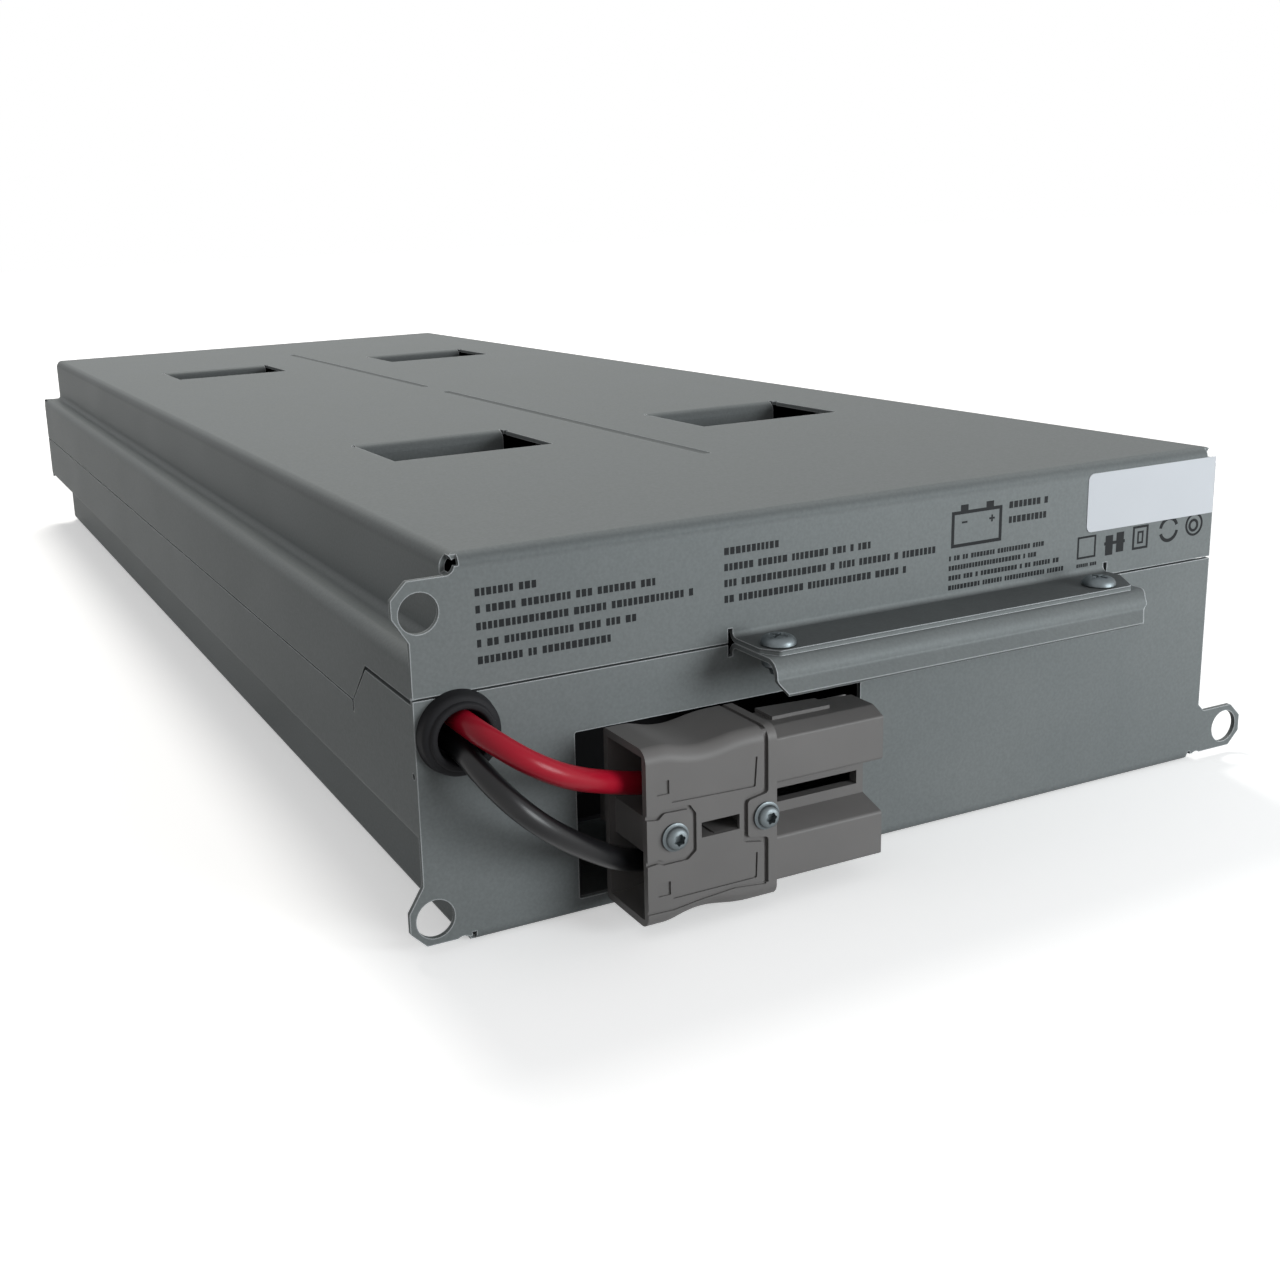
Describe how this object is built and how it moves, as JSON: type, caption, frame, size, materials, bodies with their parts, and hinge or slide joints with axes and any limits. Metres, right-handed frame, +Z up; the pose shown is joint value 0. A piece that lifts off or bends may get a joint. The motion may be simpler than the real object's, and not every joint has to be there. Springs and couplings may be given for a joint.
{
  "type": "ups battery cartridge",
  "caption": "Slide-in UPS battery cartridge: folded sheet-steel case with front handle, screw ears and a two-pole power connector on a short red and black pigtail, sealed blocks inside.",
  "frame": {"origin": "middle of the tray's underside, halfway across the case without its ears and left belly, and halfway from the front panel to the rear panel", "axes": "+Z up, +Y from the front panel to the rear, +X to the right seen from the front"},
  "size_m": [0.2386, 0.5612, 0.084],
  "materials": {
    "galvanised_steel": "zinc-coated sheet, fine rolled grain",
    "black_rubber": "moulded, matt",
    "grey_nylon": "injection moulded, fine texture",
    "plated_copper": "tin or silver plated",
    "bare_copper": "bright copper strip",
    "zinc_steel": "bright zinc plate",
    "red_insulation": "extruded, satin",
    "black_insulation": "extruded, satin",
    "battery_case": "moulded ABS",
    "clear_nylon": "natural nylon",
    "black_foam": "closed-cell foam",
    "insulating_board": "fibre board",
    "white_label": "blank paper label"
  },
  "bodies": {
    "root": {"top_cover": "galvanised_steel", "base_tray": "galvanised_steel", "grommet": "black_rubber", "boot_front_shell": "grey_nylon", "boot_rear_shell": "grey_nylon", "connector_housing": "grey_nylon", "contact_positive": "plated_copper", "contact_negative": "plated_copper", "boot_screws": "zinc_steel", "handle_screws": "zinc_steel", "clinch_nuts": "zinc_steel", "red_lead": "red_insulation", "black_lead": "black_insulation", "lead_splices": "black_insulation", "battery_terminals": "plated_copper", "link_straps": "bare_copper", "lead_receptacles": "clear_nylon", "pack_lead_positive": "red_insulation", "pack_lead_negative": "black_insulation", "cross_link": "black_insulation", "floor_foam": "black_foam", "top_foam_pads": "black_foam", "rear_spacer": "black_foam", "front_divider": "insulating_board", "terminal_sheet": "insulating_board", "blank_label": "white_label", "battery_block_01": "battery_case", "battery_block_02": "battery_case", "battery_block_03": "battery_case", "battery_block_04": "battery_case", "battery_block_05": "battery_case", "battery_block_06": "battery_case", "battery_block_07": "battery_case", "battery_block_08": "battery_case", "battery_block_09": "battery_case", "battery_block_10": "battery_case"}
  },
  "joints": []
}
